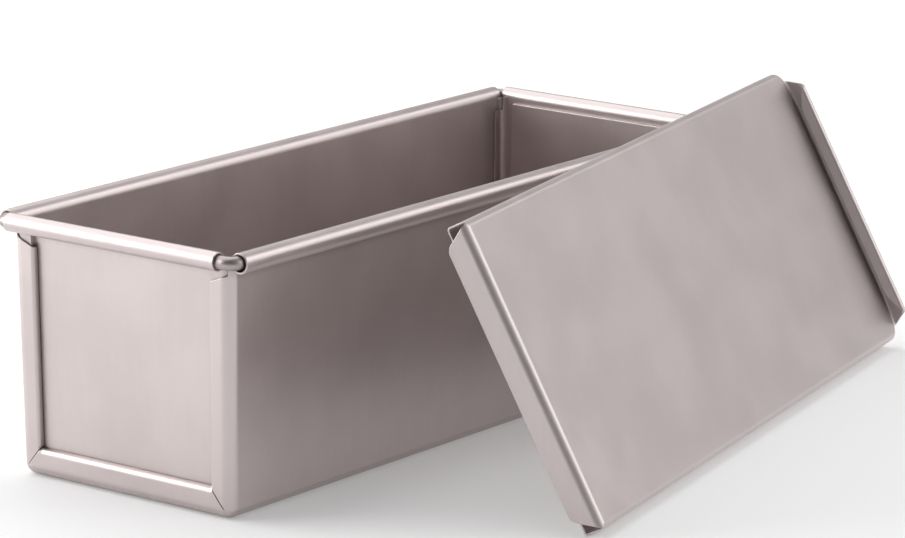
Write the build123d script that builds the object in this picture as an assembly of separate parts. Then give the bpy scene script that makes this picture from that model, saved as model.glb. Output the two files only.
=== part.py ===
from build123d import *
from math import atan, cos, hypot, pi, radians, sin, sqrt, tan
import os

# Pullman loaf pan: a folded tub with a wired rim, and a sliding lid that leans on it.
# Millimetres. X is across the pan, Y along it, Z up. The origin is the centre of the flat base.
os.makedirs("parts", exist_ok=True)

# Driving sizes of the tub, over the outer faces of its walls
pan_height = 110.0
top_length = 331.2
top_width = 115.0
base_length = 326.2
base_width = 111.0
sheet = 0.8
seam_gap = 0.05
corner_radius = 5.0

# Rolled rim: fuller rolls along the sides, tops level with those of the ends
side_roll_radius = 4.25
end_roll_radius = 3.85
roll_sweep_angle = 305.0
roll_stub = 1.0
side_roll_open = 3.8
end_roll_left_open = 4.2
end_roll_right_open = 7.0

# Wire in the rim
wire_diameter = 5.6
wire_corner_radius = 3.7
wire_side_gap = 0.35
wire_end_gap = 0.15
wire_lift = 0.1
wire_butt_gap = 0.5
corner_sheet_drop = 1.0
corner_sheet_gap = 0.3

# End seams: flaps of the wrap round the end panels, their inner edges folded in
flap_base_width = 10.3
flap_top_width = 11.3
flap_height = 12.4
flap_fold_width = 1.6
flap_fold_depth = 2.7
flap_side_radius = 1.5
flap_low_fold_reach = 2.56
flap_window_radius = 0.8
flap_top_outer_drop = 2.2
flap_top_inner_drop = 6.1
flap_top_reach = 3.0
mitre_groove = 0.4
mitre_groove_depth = 0.4
mitre_share = 0.9
mitre_slit_share = 0.25

# End panels
panel_side_slit = 0.6
panel_recess = 2.9
panel_recess_gap = 0.12
panel_recess_top_drop = 3.1
panel_tray_reach = 7.0
panel_step_share = 0.82

# Lid, along its own length, across it and through it
lid_length = 343.2
lid_side_clearance = 0.4
lid_sheet = 0.7
lid_channel_clearance = 0.4
lid_side_fold_radius = 3.0
lid_return_fold_radius = 1.6
lid_return_width = 7.5
lid_stop_depth = 12.0
lid_stop_fold_radius = 3.5
lid_end_slope_angle = 31.5
lid_stop_corner_radius = 4.5
lid_stop_tip_inset = 1.0
lid_lip_height = 8.1
lid_lip_fold_radius = 1.2
lid_lip_inset = 5.3
lid_lip_corner_radius = 3.2
lid_far_chamfer = 5.0
lid_hem_radius = 1.8
lid_hem_open_angle = 12.0
lid_hem_leg = 3.6
lid_hem_leg_high_inset = 2.0
lid_hem_leg_low_inset = 14.5
lid_hem_leg_radius = 3.0

# How the lid stands: lower channel on the table, upper return strip on the far end of one long roll.
# Its lean follows from the turn about Z, the place along the lid that touches, the side of the roll that
# it touches, counted from up the lid toward its top face, and the gap left there
lid_yaw_angle = 12.4
lid_touch_length = 275.7
lid_touch_angle = 21.9
lid_lean_gap = 0.2

# Allowed for cuts
overrun = 20.0
tiny = 0.01


# The leaning walls
def size_at(base_size, top_size, level):
    return base_size + (top_size - base_size) * level / pan_height


lean_side = atan((top_width - base_width) / 2 / pan_height)
lean_end = atan((top_length - base_length) / 2 / pan_height)
side_level = pan_height - side_roll_radius
rim_level = pan_height - end_roll_radius
high = rim_level + overrun


def tapered(base_size, top_size, shift, low, top):
    """Drawing of the tub's section between two levels, its leaning sides moved in by shift."""
    low_half = size_at(base_size, top_size, low) / 2 - shift
    top_half = size_at(base_size, top_size, top) / 2 - shift
    return make_face(
        Polyline((-low_half, low), (low_half, low), (top_half, top), (-top_half, top), close=True)
    )


def block(inset_side, inset_end, low, top, radius=None):
    """Tapered block with walls parallel to the outer walls, inset from them, and rounded lower corners."""
    wide = tapered(base_width, top_width, inset_side / cos(lean_side), low, top)
    long = tapered(base_length, top_length, inset_end / cos(lean_end), low, top)
    solid = extrude(Plane.XZ * wide, amount=top_length, both=True)
    solid = solid & extrude(Plane.YZ * long, amount=top_length, both=True)
    if radius:
        middle = (low + top) / 2
        solid = fillet([e for e in solid.edges() if e.center().Z < middle + tiny], radius)
    return solid


def across(face):
    """Prism of a drawing in the XZ plane, running along the whole pan and beyond."""
    return extrude(Plane.XZ * face, amount=top_length, both=True)


def half_window(level):
    flap_width = size_at(flap_base_width, flap_top_width, level)
    return size_at(base_width, top_width, level) / 2 - flap_width


def window(grow, top):
    """Opening between the three flaps, seen along the pan, grown by grow on its sides and bottom."""
    low = flap_height - grow
    points = [
        (-half_window(low) - grow, low),
        (half_window(low) + grow, low),
        (half_window(top) + grow, top),
        (-half_window(top) - grow, top),
    ]
    face = make_face(Polyline(*points, close=True))
    corners = face.vertices().sort_by(Axis.Y)[:2]
    return across(fillet(corners, flap_window_radius + grow))


def roll_face(radius, lean):
    """Rolled edge seen along the rim: origin on its axis, first axis outward, second axis up."""
    out = Vector(cos(lean), -sin(lean))
    up = Vector(sin(lean), cos(lean))

    def spot(reach, turned):
        angle = pi - lean - turned
        return Vector(reach * cos(angle), reach * sin(angle))

    full = roll_sweep_angle * pi / 180
    inner = radius - sheet
    outer_low = out * -radius - up * roll_stub
    inner_low = out * -inner - up * roll_stub
    edges = [
        Line(outer_low, spot(radius, 0)),
        ThreePointArc(spot(radius, 0), spot(radius, full / 2), spot(radius, full)),
        Line(spot(radius, full), spot(inner, full)),
        ThreePointArc(spot(inner, full), spot(inner, full / 2), spot(inner, 0)),
        Line(spot(inner, 0), inner_low),
        Line(inner_low, outer_low),
    ]
    return make_face(edges)


# Axes of the rolls, from the inner faces of the rolled walls, and of the wire, from the outer ones
panel_back = 2 * sheet + seam_gap
side_face = size_at(base_width, top_width, side_level) / 2
end_face = size_at(base_length, top_length, rim_level) / 2
axis_side = side_face + (side_roll_radius - sheet) / cos(lean_side)
axis_end = end_face + (end_roll_radius - panel_back) / cos(lean_end)
ring_x = side_face + wire_diameter / 2 + wire_side_gap
ring_y = end_face - sheet + wire_diameter / 2 + wire_end_gap
side_roll_half = axis_end - side_roll_open
end_roll_left = ring_x - end_roll_left_open
end_roll_right = ring_x - end_roll_right_open

side_roll = extrude(
    Plane(origin=(axis_side, 0, side_level), x_dir=(1, 0, 0), z_dir=(0, -1, 0))
    * roll_face(side_roll_radius, lean_side),
    amount=side_roll_half,
    both=True,
)
end_roll = extrude(
    Plane(origin=(end_roll_right, -axis_end, rim_level), x_dir=(0, -1, 0), z_dir=(-1, 0, 0))
    * roll_face(end_roll_radius, lean_end),
    amount=end_roll_left + end_roll_right,
)

# Folded wrap: a thin tub with open ends, flaps round the openings, and rolled long edges
outer_tub = block(0, 0, 0, side_level, corner_radius)
inner_tub = block(sheet, sheet, sheet, high, corner_radius - sheet)
open_window = window(0, high)
flap_fold_band = outer_tub - block(flap_fold_depth, flap_fold_depth, 0, high)
flap_fold = (window(flap_fold_width, high) - open_window) & flap_fold_band
sharp_wrap = (outer_tub - inner_tub) + flap_fold - open_window


def on_window_edge(edge):
    """Outer rim of an opening: on the outer end face, along the opening's sides, corners and bottom."""
    spot = edge.center()
    face_at = size_at(base_length, top_length, spot.Z) / 2
    if abs(abs(spot.Y) - face_at) > sheet / 2:
        return False
    if spot.Z > side_level - sheet:
        return False
    return abs(spot.X) < half_window(spot.Z) + sheet / 2 and spot.Z > flap_height - sheet / 2


def rounded_wrap(radius):
    return fillet([e for e in sharp_wrap.edges() if on_window_edge(e)], radius)


# The lower flap has the fuller fold, which reaches as far along its two faces at any lean of the end.
# It meets the side flaps at mitres that run to the lower corners
flap_low_radius = flap_low_fold_reach * (1 - abs(sin(lean_end))) / cos(lean_end)
mitre_x = half_window(flap_height)
mitre_slope = flap_height / (base_width / 2 - mitre_x)
wedge_low = -overrun * mitre_slope
wedge_high = flap_height + sheet * mitre_slope
low_wedge = across(
    make_face(
        Polyline(
            (-mitre_x + sheet, wedge_high),
            (mitre_x - sheet, wedge_high),
            (base_width / 2 + overrun, wedge_low),
            (-base_width / 2 - overrun, wedge_low),
            close=True,
        )
    )
)
wrap = (rounded_wrap(flap_side_radius) - low_wedge) + (rounded_wrap(flap_low_radius) & low_wedge)


def mitre(side, share, width):
    """Narrow prism along one mitre, from the opening's corner out to a share of the mitre's run."""
    run = (base_width / 2 - mitre_x) * share
    rise = width / 2 * hypot(1, mitre_slope)
    start_x = side * (mitre_x - sheet)
    stop_x = side * (mitre_x + run)
    stop_z = flap_height - run * mitre_slope
    return across(
        make_face(
            Polyline(
                (start_x, wedge_high + rise),
                (stop_x, stop_z + rise),
                (stop_x, stop_z - rise),
                (start_x, wedge_high - rise),
                close=True,
            )
        )
    )


groove_band = outer_tub - block(mitre_groove_depth, mitre_groove_depth, 0, high)
for side in (-1, 1):
    wrap -= mitre(side, mitre_share, mitre_groove) & groove_band
    wrap -= mitre(side, mitre_slit_share, mitre_groove)

# Sloped tops of the side flaps
slope_outer_x = side_face - corner_radius + flap_top_reach
slope_inner_x = half_window(rim_level) - sheet
slope_outer_z = rim_level - end_roll_radius - flap_top_outer_drop
slope_inner_z = rim_level - end_roll_radius - flap_top_inner_drop
wrap -= across(
    make_face(
        Polyline(
            (-slope_outer_x, slope_outer_z),
            (-slope_inner_x, slope_inner_z),
            (slope_inner_x, slope_inner_z),
            (slope_outer_x, slope_outer_z),
            (slope_outer_x, high),
            (-slope_outer_x, high),
            close=True,
        )
    )
)

# Sheet cut away over the corners, and round the ends of the end rolls
notch = side_face + overrun
for side in (-1, 1):
    for end in (-1, 1):
        notch_x = side * (slope_outer_x + notch / 2)
        notch_y = end * (side_roll_half + notch / 2)
        wrap -= Pos(notch_x, notch_y, rim_level - corner_sheet_drop) * Box(
            notch, notch, notch, align=(Align.CENTER, Align.CENTER, Align.MIN)
        )
room_start = (end_roll_right + corner_sheet_gap, -axis_end, rim_level)
roll_room = extrude(
    Plane(origin=room_start, x_dir=(0, -1, 0), z_dir=(-1, 0, 0)) * Circle(end_roll_radius + corner_sheet_gap),
    amount=end_roll_left + end_roll_right + 2 * corner_sheet_gap,
)
wrap -= roll_room
wrap -= mirror(roll_room, about=Plane.XZ)
body_wrap = wrap + side_roll + mirror(side_roll, about=Plane.YZ)

# End panels: a shallow tray inside the tub's end, its middle pressed inward, its top rolled
front = sheet + seam_gap
tray = block(front, front, front, rim_level, corner_radius - front)
tray -= block(panel_back, panel_back, panel_back, high, corner_radius - panel_back)
tray -= block(-overrun, panel_tray_reach, -overrun, high)
recess_grow = flap_fold_width + panel_recess_gap
recess_top = rim_level - panel_recess_top_drop
recess_back = panel_recess + sheet
pad = window(recess_grow + sheet, recess_top + sheet)
pad = pad & (block(front, front, front, rim_level) - block(recess_back, recess_back, front - sheet, high))
tray = tray + pad
tray -= window(recess_grow, recess_top) - block(panel_recess, panel_recess, 0, high)
panel_half = slope_outer_x - panel_side_slit
for side in (-1, 1):
    tray -= Pos(side * (panel_half + notch / 2), 0, slope_outer_z) * Box(
        notch, 2 * top_length, notch, align=(Align.CENTER, Align.CENTER, Align.MIN)
    )
near_panel = tray.solids().sort_by(Axis.Y)[0]


def on_recess_top(edge):
    spot = edge.center()
    level = abs(spot.Z - recess_top) < tiny
    face_at = size_at(base_length, top_length, spot.Z) / 2 - front
    return level and abs(abs(spot.Y) - face_at) < sheet / 2 and abs(spot.X) < sheet


step_depth = (panel_recess - front) / cos(lean_end)
step_radius = panel_step_share * step_depth * tan((pi / 2 + lean_end) / 2)
near_panel = near_panel.fillet(step_radius, [e for e in near_panel.edges() if on_recess_top(e)])
end_panel_near = near_panel + end_roll
end_panel_far = mirror(end_panel_near, about=Plane.XZ)

# Rim wire: one ring, its two ends butted inside a long roll
ring_z = (side_level + rim_level) / 2 + wire_lift
ring_path = FilletPolyline(
    (-ring_x, wire_butt_gap / 2, ring_z),
    (-ring_x, ring_y, ring_z),
    (ring_x, ring_y, ring_z),
    (ring_x, -ring_y, ring_z),
    (-ring_x, -ring_y, ring_z),
    (-ring_x, -wire_butt_gap / 2, ring_z),
    radius=wire_corner_radius,
)
ring_start = Plane(origin=ring_path @ 0, z_dir=ring_path % 0)
rim_wire = sweep(ring_start * Circle(wire_diameter / 2), path=ring_path)

# Lid in its own frame: top face at zero, stop flange at the low end of Y, lip at the high end
lid_half = axis_side + side_roll_radius + lid_side_clearance + lid_sheet
channel_depth = 2 * side_roll_radius + lid_channel_clearance + 2 * lid_sheet
section_outer = Pos(0, -channel_depth / 2) * Rectangle(2 * lid_half, channel_depth)
section_inner = Pos(0, -channel_depth / 2) * Rectangle(
    2 * (lid_half - lid_sheet), channel_depth - 2 * lid_sheet
)


def round_section(face, upper, lower):
    tops = face.vertices().sort_by(Axis.Y)[2:]
    face = fillet(tops, upper)
    bottoms = face.vertices().sort_by(Axis.Y)[:2]
    return fillet(bottoms, lower)


section_outer = round_section(section_outer, lid_side_fold_radius, lid_return_fold_radius)
section_inner = round_section(
    section_inner, lid_side_fold_radius - lid_sheet, lid_return_fold_radius - lid_sheet
)
between = 2 * (lid_half - lid_return_width)
section = section_outer - section_inner - Pos(0, -channel_depth) * Rectangle(between, channel_depth)
sheet_start = lid_stop_fold_radius
sheet_end = lid_length - lid_lip_fold_radius
along_lid = Plane(origin=(0, sheet_start, 0), x_dir=(-1, 0, 0), z_dir=(0, 1, 0))
shell = extrude(along_lid * section, amount=sheet_end - sheet_start)

# Far corners of the main sheet, cut back to the width of the pull lip
lip_half = lid_half - lid_lip_inset
chamfer_start = sheet_end - lid_far_chamfer
for side in (-1, 1):
    corner = make_face(
        Polyline(
            (side * lip_half, sheet_end),
            (side * lip_half, sheet_end + overrun),
            (side * (lid_half + overrun), sheet_end + overrun),
            (side * (lid_half + overrun), chamfer_start),
            (side * lid_half, chamfer_start),
            close=True,
        )
    )
    shell -= extrude(corner, amount=overrun, both=True)


def across_lid(face, half):
    """Prism of a drawing whose first axis runs along the lid and second through it."""
    return extrude(Plane(origin=(0, 0, 0), x_dir=(0, 1, 0), z_dir=(1, 0, 0)) * face, amount=half, both=True)


def end_outline(face):
    """Prism of a drawing seen along the lid, long enough for both of its ends."""
    return extrude(Plane.XZ * face, amount=2 * lid_length, both=True)


# Stop flange, turned down, with its corners cut back so the channels stay open
stop_path = Polyline(
    (sheet_start, 0),
    (0, 0),
    (0, -lid_stop_depth),
    (lid_sheet, -lid_stop_depth),
    (lid_sheet, -lid_sheet),
    (sheet_start, -lid_sheet),
    close=True,
)
stop_face = make_face(stop_path)
stop_face = fillet([v for v in stop_face.vertices() if hypot(v.X, v.Y) < tiny], lid_stop_fold_radius)
inner_corner = [v for v in stop_face.vertices() if hypot(v.X - lid_sheet, v.Y + lid_sheet) < tiny]
stop_face = fillet(inner_corner, lid_stop_fold_radius - lid_sheet - tiny)
tip_x = lid_half - lid_stop_tip_inset
tip_run = lid_side_fold_radius - lid_stop_tip_inset
tip_z = sqrt(lid_side_fold_radius**2 - tip_run**2) - lid_side_fold_radius
end_slope = tan(radians(lid_end_slope_angle))
stop_low_x = tip_x - (lid_stop_depth + tip_z) * end_slope
middle_x = lid_half - lid_side_fold_radius + lid_side_fold_radius * sin(radians(lid_end_slope_angle) / 2)
middle_z = lid_side_fold_radius * (cos(radians(lid_end_slope_angle) / 2) - 1)
stop_outline = make_face(
    [
        Line((-lid_half + lid_side_fold_radius, 0), (lid_half - lid_side_fold_radius, 0)),
        ThreePointArc((lid_half - lid_side_fold_radius, 0), (middle_x, middle_z), (tip_x, tip_z)),
        Line((tip_x, tip_z), (stop_low_x, -lid_stop_depth)),
        Line((stop_low_x, -lid_stop_depth), (-stop_low_x, -lid_stop_depth)),
        Line((-stop_low_x, -lid_stop_depth), (-tip_x, tip_z)),
        ThreePointArc((-tip_x, tip_z), (-middle_x, middle_z), (-lid_half + lid_side_fold_radius, 0)),
    ]
)
stop_outline = fillet(stop_outline.vertices().group_by(Axis.Y)[0], lid_stop_corner_radius)
stop = across_lid(stop_face, lid_half) & end_outline(stop_outline)

# Pull lip, turned up from the main sheet
lip_back = lid_length + lid_sheet
hem_level = lid_lip_height - lid_hem_radius
lip_face = make_face(
    Polyline(
        (sheet_end, 0),
        (lid_length, 0),
        (lid_length, hem_level),
        (lip_back, hem_level),
        (lip_back, -lid_sheet),
        (sheet_end, -lid_sheet),
        close=True,
    )
)
fold_corner = [v for v in lip_face.vertices() if hypot(v.X - lid_length, v.Y) < tiny]
lip_face = fillet(fold_corner, lid_lip_fold_radius - tiny)
back_corner = [v for v in lip_face.vertices() if hypot(v.X - lip_back, v.Y + lid_sheet) < tiny]
lip_face = fillet(back_corner, lid_lip_fold_radius + lid_sheet - tiny)

# Its free edge is hemmed over the top face. The hem is left a little open, and its leg is cut back at a
# slant at both ends
hem_centre = lip_back - lid_hem_radius
hem = Pos(hem_centre, hem_level) * (Circle(lid_hem_radius) - Circle(lid_hem_radius - lid_sheet))
hem -= Pos(hem_centre, hem_level) * Rectangle(overrun, overrun, align=(Align.CENTER, Align.MAX))
opened = Pos(hem_centre, hem_level) * Rot(0, 0, -lid_hem_open_angle)
hem -= opened * Rectangle(overrun, overrun, align=(Align.MAX, Align.MAX))
leg = opened * Pos(-lid_hem_radius, 0) * Rectangle(lid_sheet, lid_hem_leg, align=(Align.MIN, Align.MAX))
lip_high_x = lip_half - lid_lip_height * end_slope
lip_outline = make_face(
    Polyline(
        (-lip_half, -overrun),
        (lip_half, -overrun),
        (lip_half, 0),
        (lip_high_x, lid_lip_height),
        (-lip_high_x, lid_lip_height),
        (-lip_half, 0),
        close=True,
    )
)
lip_outline = fillet(lip_outline.vertices().group_by(Axis.Y)[-1], lid_lip_corner_radius)
leg_high_x = lip_high_x - lid_hem_leg_high_inset
leg_low_x = lip_half - lid_hem_leg_low_inset
leg_turn = radians(lid_hem_open_angle)
leg_low = hem_level + lid_hem_radius * sin(leg_turn) - lid_hem_leg * cos(leg_turn)
leg_outline = make_face(
    Polyline(
        (-leg_low_x, leg_low),
        (leg_low_x, leg_low),
        (leg_high_x, hem_level),
        (leg_high_x, lid_lip_height),
        (-leg_high_x, lid_lip_height),
        (-leg_high_x, hem_level),
        close=True,
    )
)
leg_outline = fillet(leg_outline.vertices().group_by(Axis.Y)[0], lid_hem_leg_radius)
lip = across_lid(lip_face + hem, lid_half) & end_outline(lip_outline)
lip = lip + (across_lid(leg, lid_half) & end_outline(leg_outline))
lid_flat = shell + stop + lip

# Lean the lid on the rim. Its three directions: along it, up it, and through it toward the pan
yaw = radians(lid_yaw_angle)
side_angle = radians(lid_touch_angle)
reach = side_roll_radius + lid_lean_gap
strip_edge = 2 * lid_half - lid_return_width


def foot_level(lean):
    """Height of the lid's sharp lower outer line when its lower channel fold touches the table."""
    fold = lid_return_fold_radius
    return sin(lean) * (channel_depth - fold) - cos(lean) * fold + fold


def miss(lean):
    """How far the return strip's edge stands above its place on the roll."""
    edge_level = foot_level(lean) + cos(lean) * strip_edge - sin(lean) * channel_depth
    return edge_level - side_level - reach * cos(lean - side_angle)


least, most = 0.0, pi / 3
for step in range(60):
    lean = (least + most) / 2
    if miss(lean) > 0:
        least = lean
    else:
        most = lean

along = Vector(-sin(yaw), cos(yaw), 0)
upward = Vector(-cos(yaw) * sin(lean), -sin(yaw) * sin(lean), cos(lean))
outward = Vector(cos(yaw) * cos(lean), sin(yaw) * cos(lean), sin(lean))
touch = Vector(axis_side, side_roll_half, side_level)
touch = touch + (upward * cos(side_angle) + outward * sin(side_angle)) * reach
near_top = touch - along * lid_touch_length - upward * (strip_edge - lid_half) + outward * channel_depth
lid = Plane(origin=near_top, x_dir=upward * -1, z_dir=outward) * lid_flat
lid = Pos(0, 0, -lid.bounding_box().min.Z) * lid

# One file for each piece
pieces = {
    "body_wrap": body_wrap,
    "end_panel_near": end_panel_near,
    "end_panel_far": end_panel_far,
    "rim_wire": rim_wire,
    "lid": lid,
}
for name, piece in pieces.items():
    solids = piece.solids()
    whole = solids[0] if len(solids) == 1 else Compound(children=list(solids))
    whole.label = name
    export_step(whole, os.path.join("parts", name + ".step"))
    box = whole.bounding_box()
    print(name, len(solids), round(whole.volume), box.min, box.max)
print("lean", lean * 180 / pi)
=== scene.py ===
from math import cos, pi, radians, sin

import bpy
from mathutils import Matrix, Vector

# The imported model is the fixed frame: metres, X across the pan, Y along it, Z up
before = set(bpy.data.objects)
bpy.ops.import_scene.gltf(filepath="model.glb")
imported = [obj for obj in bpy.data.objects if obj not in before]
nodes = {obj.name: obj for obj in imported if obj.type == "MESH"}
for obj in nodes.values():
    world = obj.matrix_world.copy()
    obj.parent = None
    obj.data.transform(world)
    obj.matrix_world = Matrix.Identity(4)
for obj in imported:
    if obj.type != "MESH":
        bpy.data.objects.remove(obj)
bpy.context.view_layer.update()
scene = bpy.context.scene

# Camera, solved from the edges of the pan and the lid. The origin's place is in the camera's own axes.
image_width_px = 905
focal_px = 4704.0
camera_azimuth = radians(37.193)
camera_elevation = radians(13.512)
camera_roll = radians(0.492)
origin_in_camera = Vector((-0.032942, -0.062178, -2.017))
sensor_width_mm = 36.0
clip_near = 0.05
clip_far = 100.0

# Patterns in the coat, in features to the metre. The streaks are long along Z.
cloud_scale = 34.0
flake_scale = 1900.0
wave_scale = 8.0
rub_scale = 240.0
streak_scales = (420.0, 420.0, 26.0)

# Shares of the patterns in the mottled colour, and the span of it that goes from shade to tint
cloud_share = 0.6
flake_share = 0.25
streak_share = 0.15
mottle_span = (0.36, 0.64)

# Edges of the sheet, rubbed brighter and smoother in patches
edge_radius = 0.00045
edge_samples = 6
edge_cosines = (0.82, 0.985)
edge_rub_span = (0.40, 0.62)
edge_rub_weights = (0.25, 0.85)
edge_tint = (0.82, 0.77, 0.755, 1)
edge_polish = 0.06

# Residue and painted shade in the mouths of rolls and folds, and painted shade beside a step in the
# sheet.
# A span is of open sky within reach: 0 is shut in and 1 is free.
sky_samples = 8
nook_reach = 0.0016
nook_span = (0.35, 0.85)
nook_weights = (0.75, 0.0)
nook_rub_span = (0.30, 0.60)
nook_rub_weights = (0.7, 1.0)
nook_residue_and_shade_tint = (0.17, 0.135, 0.125, 1)
nook_roughening = 0.2
step_reach = 0.006
step_span = (0.77, 0.89)
step_shade_tint = (0.33, 0.28, 0.27, 1)

# Relief of the coat: strengths from 0 to 1, and heights in metres
flake_strength = 0.22
streak_strength = 0.10
wave_strength = 0.18
fine_height = 0.00004
wave_height = 0.0004

# Gloss of the coat
rough_span = (0.3, 0.7)
flake_rough_change = 0.02
metal_share = 0.85
clear_share = 0.12
clear_roughness = 0.3

# Ground and room
floor_half = 12.0
floor_drop = 0.0002
floor_grey = 0.80
floor_glow = 0.24
room_ahead = Vector((0.52, 0.84, 0.12)).normalized()
room_cosines = (-0.5, 0.97)
room_levels = (0.10, 0.53)


def place_camera():
    """Long lens, low and to the right of the near end."""
    back = Vector((
        sin(camera_azimuth) * cos(camera_elevation),
        -cos(camera_azimuth) * cos(camera_elevation),
        sin(camera_elevation),
    ))
    right = Vector((cos(camera_azimuth), sin(camera_azimuth), 0))
    up = back.cross(right)
    rolled_right = right * cos(camera_roll) + up * sin(camera_roll)
    rolled_up = up * cos(camera_roll) - right * sin(camera_roll)
    turn = Matrix((rolled_right, rolled_up, back)).transposed()
    data = bpy.data.cameras.new("camera")
    data.sensor_fit = "HORIZONTAL"
    data.sensor_width = sensor_width_mm
    data.lens = focal_px / image_width_px * data.sensor_width
    data.clip_start = clip_near
    data.clip_end = clip_far
    camera = bpy.data.objects.new("camera", data)
    camera.matrix_world = Matrix.Translation(turn @ -origin_in_camera) @ turn.to_4x4()
    scene.collection.objects.link(camera)
    scene.camera = camera


place_camera()


class Tree:
    """Short calls for the nodes of a material or of the world."""

    def __init__(self, owner):
        owner.use_nodes = True
        self.tree = owner.node_tree
        self.tree.nodes.clear()

    def node(self, kind, **values):
        made = self.tree.nodes.new(kind)
        for name, value in values.items():
            setattr(made, name, value)
        return made

    def link(self, source, target):
        self.tree.links.new(source, target)

    def feed(self, slot, value):
        if isinstance(value, bpy.types.NodeSocket):
            self.link(value, slot)
        else:
            slot.default_value = value

    def math(self, operation, first, second):
        made = self.node("ShaderNodeMath", operation=operation)
        self.feed(made.inputs[0], first)
        self.feed(made.inputs[1], second)
        return made.outputs[0]

    def noise(self, where, scale, detail=2.0, rough=0.5):
        made = self.node("ShaderNodeTexNoise")
        self.link(where, made.inputs["Vector"])
        made.inputs["Scale"].default_value = scale
        made.inputs["Detail"].default_value = detail
        made.inputs["Roughness"].default_value = rough
        return made.outputs["Fac"]

    def stretch(self, where, factors):
        made = self.node("ShaderNodeMapping")
        self.link(where, made.inputs["Vector"])
        made.inputs["Scale"].default_value = factors
        return made.outputs["Vector"]

    def remap(self, value, span, results):
        """Smooth step from the first result to the second while the value crosses the span."""
        made = self.node("ShaderNodeMapRange", interpolation_type="SMOOTHSTEP")
        self.link(value, made.inputs["Value"])
        made.inputs["From Min"].default_value = span[0]
        made.inputs["From Max"].default_value = span[1]
        made.inputs["To Min"].default_value = results[0]
        made.inputs["To Max"].default_value = results[1]
        return made.outputs["Result"]

    def mix(self, factor, first, second):
        made = self.node("ShaderNodeMix", data_type="RGBA")
        slots = {slot.identifier: slot for slot in made.inputs}
        results = {slot.identifier: slot for slot in made.outputs}
        self.feed(slots["Factor_Float"], factor)
        self.feed(slots["A_Color"], first)
        self.feed(slots["B_Color"], second)
        return results["Result_Color"]

    def dot(self, first, second):
        made = self.node("ShaderNodeVectorMath", operation="DOT_PRODUCT")
        self.feed(made.inputs[0], first)
        self.feed(made.inputs[1], second)
        return made.outputs["Value"]

    def open_sky(self, reach):
        """Share of directions from a point that meet no sheet within reach."""
        made = self.node("ShaderNodeAmbientOcclusion", samples=sky_samples)
        made.inputs["Distance"].default_value = reach
        return made.outputs["AO"]

    def bump(self, height, strength, distance, normal):
        made = self.node("ShaderNodeBump")
        made.inputs["Strength"].default_value = strength
        made.inputs["Distance"].default_value = distance
        self.link(height, made.inputs["Height"])
        self.link(normal, made.inputs["Normal"])
        return made.outputs["Normal"]

    def finish(self, surface, kind="ShaderNodeOutputMaterial"):
        self.link(surface, self.node(kind).inputs["Surface"])


def coating(name, tint, shade, rough_range, step_shade_share=0.0):
    """Satin champagne coat on sheet steel: fine metal flake, faint clouding, edges rubbed brighter,
    painted shade in creases and beside steps.
    """
    material = bpy.data.materials.new(name)
    t = Tree(material)
    where = t.node("ShaderNodeTexCoord").outputs["Object"]
    cloud = t.noise(where, cloud_scale, detail=3.0)
    flake = t.noise(where, flake_scale, rough=0.6)
    wave = t.noise(where, wave_scale, detail=1.0)
    streak = t.noise(t.stretch(where, streak_scales), 1.0)
    rub = t.noise(where, rub_scale, detail=3.0, rough=0.65)

    # Where the soft corner normal leaves the flat one, the sheet has an edge
    corner = t.node("ShaderNodeBevel", samples=edge_samples)
    corner.inputs["Radius"].default_value = edge_radius
    soft = corner.outputs["Normal"]
    flat = t.node("ShaderNodeNewGeometry").outputs["Normal"]
    edge = t.remap(t.dot(soft, flat), edge_cosines, (1.0, 0.0))
    worn = t.math("MULTIPLY", edge, t.remap(rub, edge_rub_span, edge_rub_weights))

    mottle = t.math("ADD", t.math("MULTIPLY", cloud, cloud_share), t.math("MULTIPLY", flake, flake_share))
    mottle = t.math("ADD", mottle, t.math("MULTIPLY", streak, streak_share))
    colour = t.mix(t.remap(mottle, mottle_span, (0.0, 1.0)), shade, tint)
    colour = t.mix(worn, colour, edge_tint)
    # Painted shade with patchy residue where little open sky is within reach, in the mouths of rolls and
    # folds
    nook_residue_and_shade = t.remap(t.open_sky(nook_reach), nook_span, nook_weights)
    nook_residue_and_shade = t.math("MULTIPLY", nook_residue_and_shade, t.remap(rub, nook_rub_span, nook_rub_weights))
    colour = t.mix(nook_residue_and_shade, colour, nook_residue_and_shade_tint)
    # Painted shade beside a step in the sheet, where sheet within a few millimetres closes off the sky
    if step_shade_share:
        dim = t.remap(t.open_sky(step_reach), step_span, (step_shade_share, 0.0))
        colour = t.mix(dim, colour, step_shade_tint)

    speck = t.remap(flake, rough_span, (-flake_rough_change, flake_rough_change))
    rough = t.math("ADD", t.remap(cloud, rough_span, rough_range), speck)
    rough = t.math("SUBTRACT", rough, t.math("MULTIPLY", worn, edge_polish))
    rough = t.math("ADD", rough, t.math("MULTIPLY", nook_residue_and_shade, nook_roughening))

    normal = t.bump(flake, flake_strength, fine_height, soft)
    normal = t.bump(streak, streak_strength, fine_height, normal)
    normal = t.bump(wave, wave_strength, wave_height, normal)
    shader = t.node("ShaderNodeBsdfPrincipled")
    shader.inputs["Metallic"].default_value = metal_share
    shader.inputs["Coat Weight"].default_value = clear_share
    shader.inputs["Coat Roughness"].default_value = clear_roughness
    t.link(colour, shader.inputs["Base Color"])
    t.link(rough, shader.inputs["Roughness"])
    t.link(normal, shader.inputs["Normal"])
    t.finish(shader.outputs["BSDF"])
    return material


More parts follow.
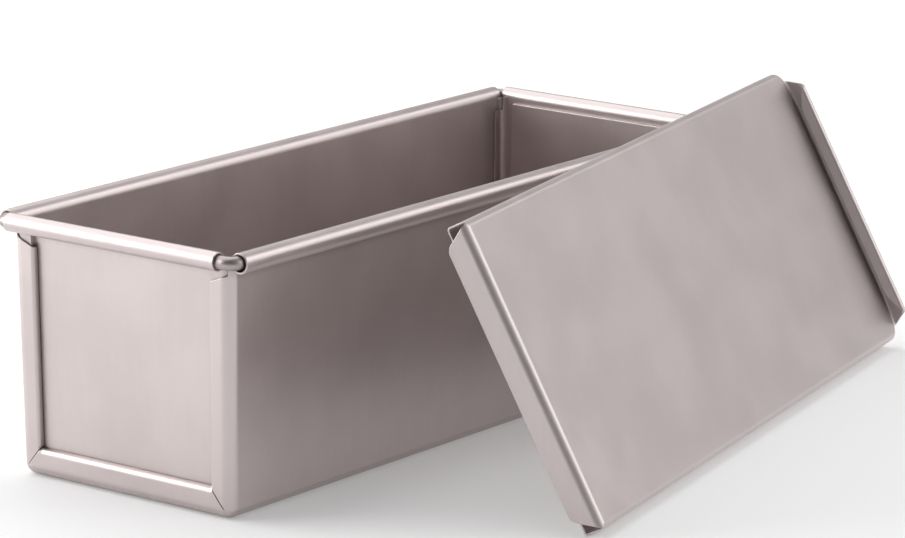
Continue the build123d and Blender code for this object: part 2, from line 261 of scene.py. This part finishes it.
pan_coat = coating(
    "pan_coat",
    tint=(0.650, 0.576, 0.570, 1),
    shade=(0.610, 0.538, 0.532, 1),
    rough_range=(0.34, 0.38),
    step_shade_share=0.3,
)
lid_coat = coating(
    "lid_coat",
    tint=(0.650, 0.576, 0.570, 1),
    shade=(0.615, 0.543, 0.537, 1),
    rough_range=(0.37, 0.41),
)
wire_coat = coating(
    "wire_coat",
    tint=(0.460, 0.402, 0.396, 1),
    shade=(0.370, 0.322, 0.318, 1),
    rough_range=(0.36, 0.42),
)
for name, material in (
    ("body_wrap", pan_coat),
    ("end_panel_near", pan_coat),
    ("end_panel_far", pan_coat),
    ("rim_wire", wire_coat),
    ("lid", lid_coat),
):
    slots = nodes[name].data.materials
    slots.clear()
    slots.append(material)


def make_floor():
    """Plain pale ground. It shows white to the camera and in the metal, and keeps the shadows."""
    mesh = bpy.data.meshes.new("floor")
    corners = [
        (x, y, -floor_drop)
        for x, y in (
            (-floor_half, -floor_half),
            (floor_half, -floor_half),
            (floor_half, floor_half),
            (-floor_half, floor_half),
        )
    ]
    mesh.from_pydata(corners, [], [(0, 1, 2, 3)])
    floor = bpy.data.objects.new("floor", mesh)
    scene.collection.objects.link(floor)
    material = bpy.data.materials.new("floor")
    t = Tree(material)
    cloth = t.node("ShaderNodeBsdfDiffuse")
    cloth.inputs["Color"].default_value = (floor_grey, floor_grey, floor_grey, 1)
    path = t.node("ShaderNodeLightPath")
    seen = t.math("MAXIMUM", path.outputs["Is Camera Ray"], path.outputs["Is Glossy Ray"])
    seen = t.math("MAXIMUM", seen, path.outputs["Is Transmission Ray"])
    glow = t.node("ShaderNodeEmission")
    t.link(t.math("MULTIPLY", seen, floor_glow), glow.inputs["Strength"])
    both = t.node("ShaderNodeAddShader")
    t.link(cloth.outputs["BSDF"], both.inputs[0])
    t.link(glow.outputs["Emission"], both.inputs[1])
    t.finish(both.outputs["Shader"])
    mesh.materials.append(material)


make_floor()


def softbox(name, place, aim, wide, tall, radiance):
    """Soft panel lamp that faces its aim. Its power follows from how bright its face is."""
    data = bpy.data.lights.new(name, "AREA")
    data.shape = "RECTANGLE"
    data.size = wide
    data.size_y = tall
    data.energy = radiance * pi * wide * tall
    lamp = bpy.data.objects.new(name, data)
    direction = Vector(aim) - Vector(place)
    lamp.rotation_mode = "QUATERNION"
    lamp.rotation_quaternion = direction.to_track_quat("-Z", "Y")
    lamp.location = place
    lamp.visible_camera = False
    scene.collection.objects.link(lamp)


# One box to the left of the near end, one behind to the right, one overhead to the left, and a
# strip high behind that the long curl mirrors
softbox("left_box", place=(-1.75, -1.10, 0.76), aim=(0, -0.1, 0.1), wide=1.9, tall=1.5, radiance=4.4)
softbox("right_box", place=(1.6, 0.95, 0.75), aim=(0.1, 0, 0.1), wide=1.6, tall=1.3, radiance=1.4)
softbox("top_box", place=(-0.9, 0.2, 1.6), aim=(0, 0, 0.05), wide=2.4, tall=2.4, radiance=1.45)
softbox("back_box", place=(0.8, 1.7, 1.25), aim=(0, 0, 0.1), wide=1.1, tall=0.45, radiance=2.0)


def light_world():
    """Pale room behind the object that falls off to a dim one behind the camera."""
    world = bpy.data.worlds.new("studio")
    t = Tree(world)
    direction = t.node("ShaderNodeTexCoord").outputs["Generated"]
    sky = t.node("ShaderNodeBackground")
    t.link(t.remap(t.dot(direction, room_ahead), room_cosines, room_levels), sky.inputs["Strength"])
    sky.inputs["Color"].default_value = (1, 1, 1, 1)
    t.finish(sky.outputs["Background"], "ShaderNodeOutputWorld")
    scene.world = world


light_world()
scene.view_settings.view_transform = "Standard"
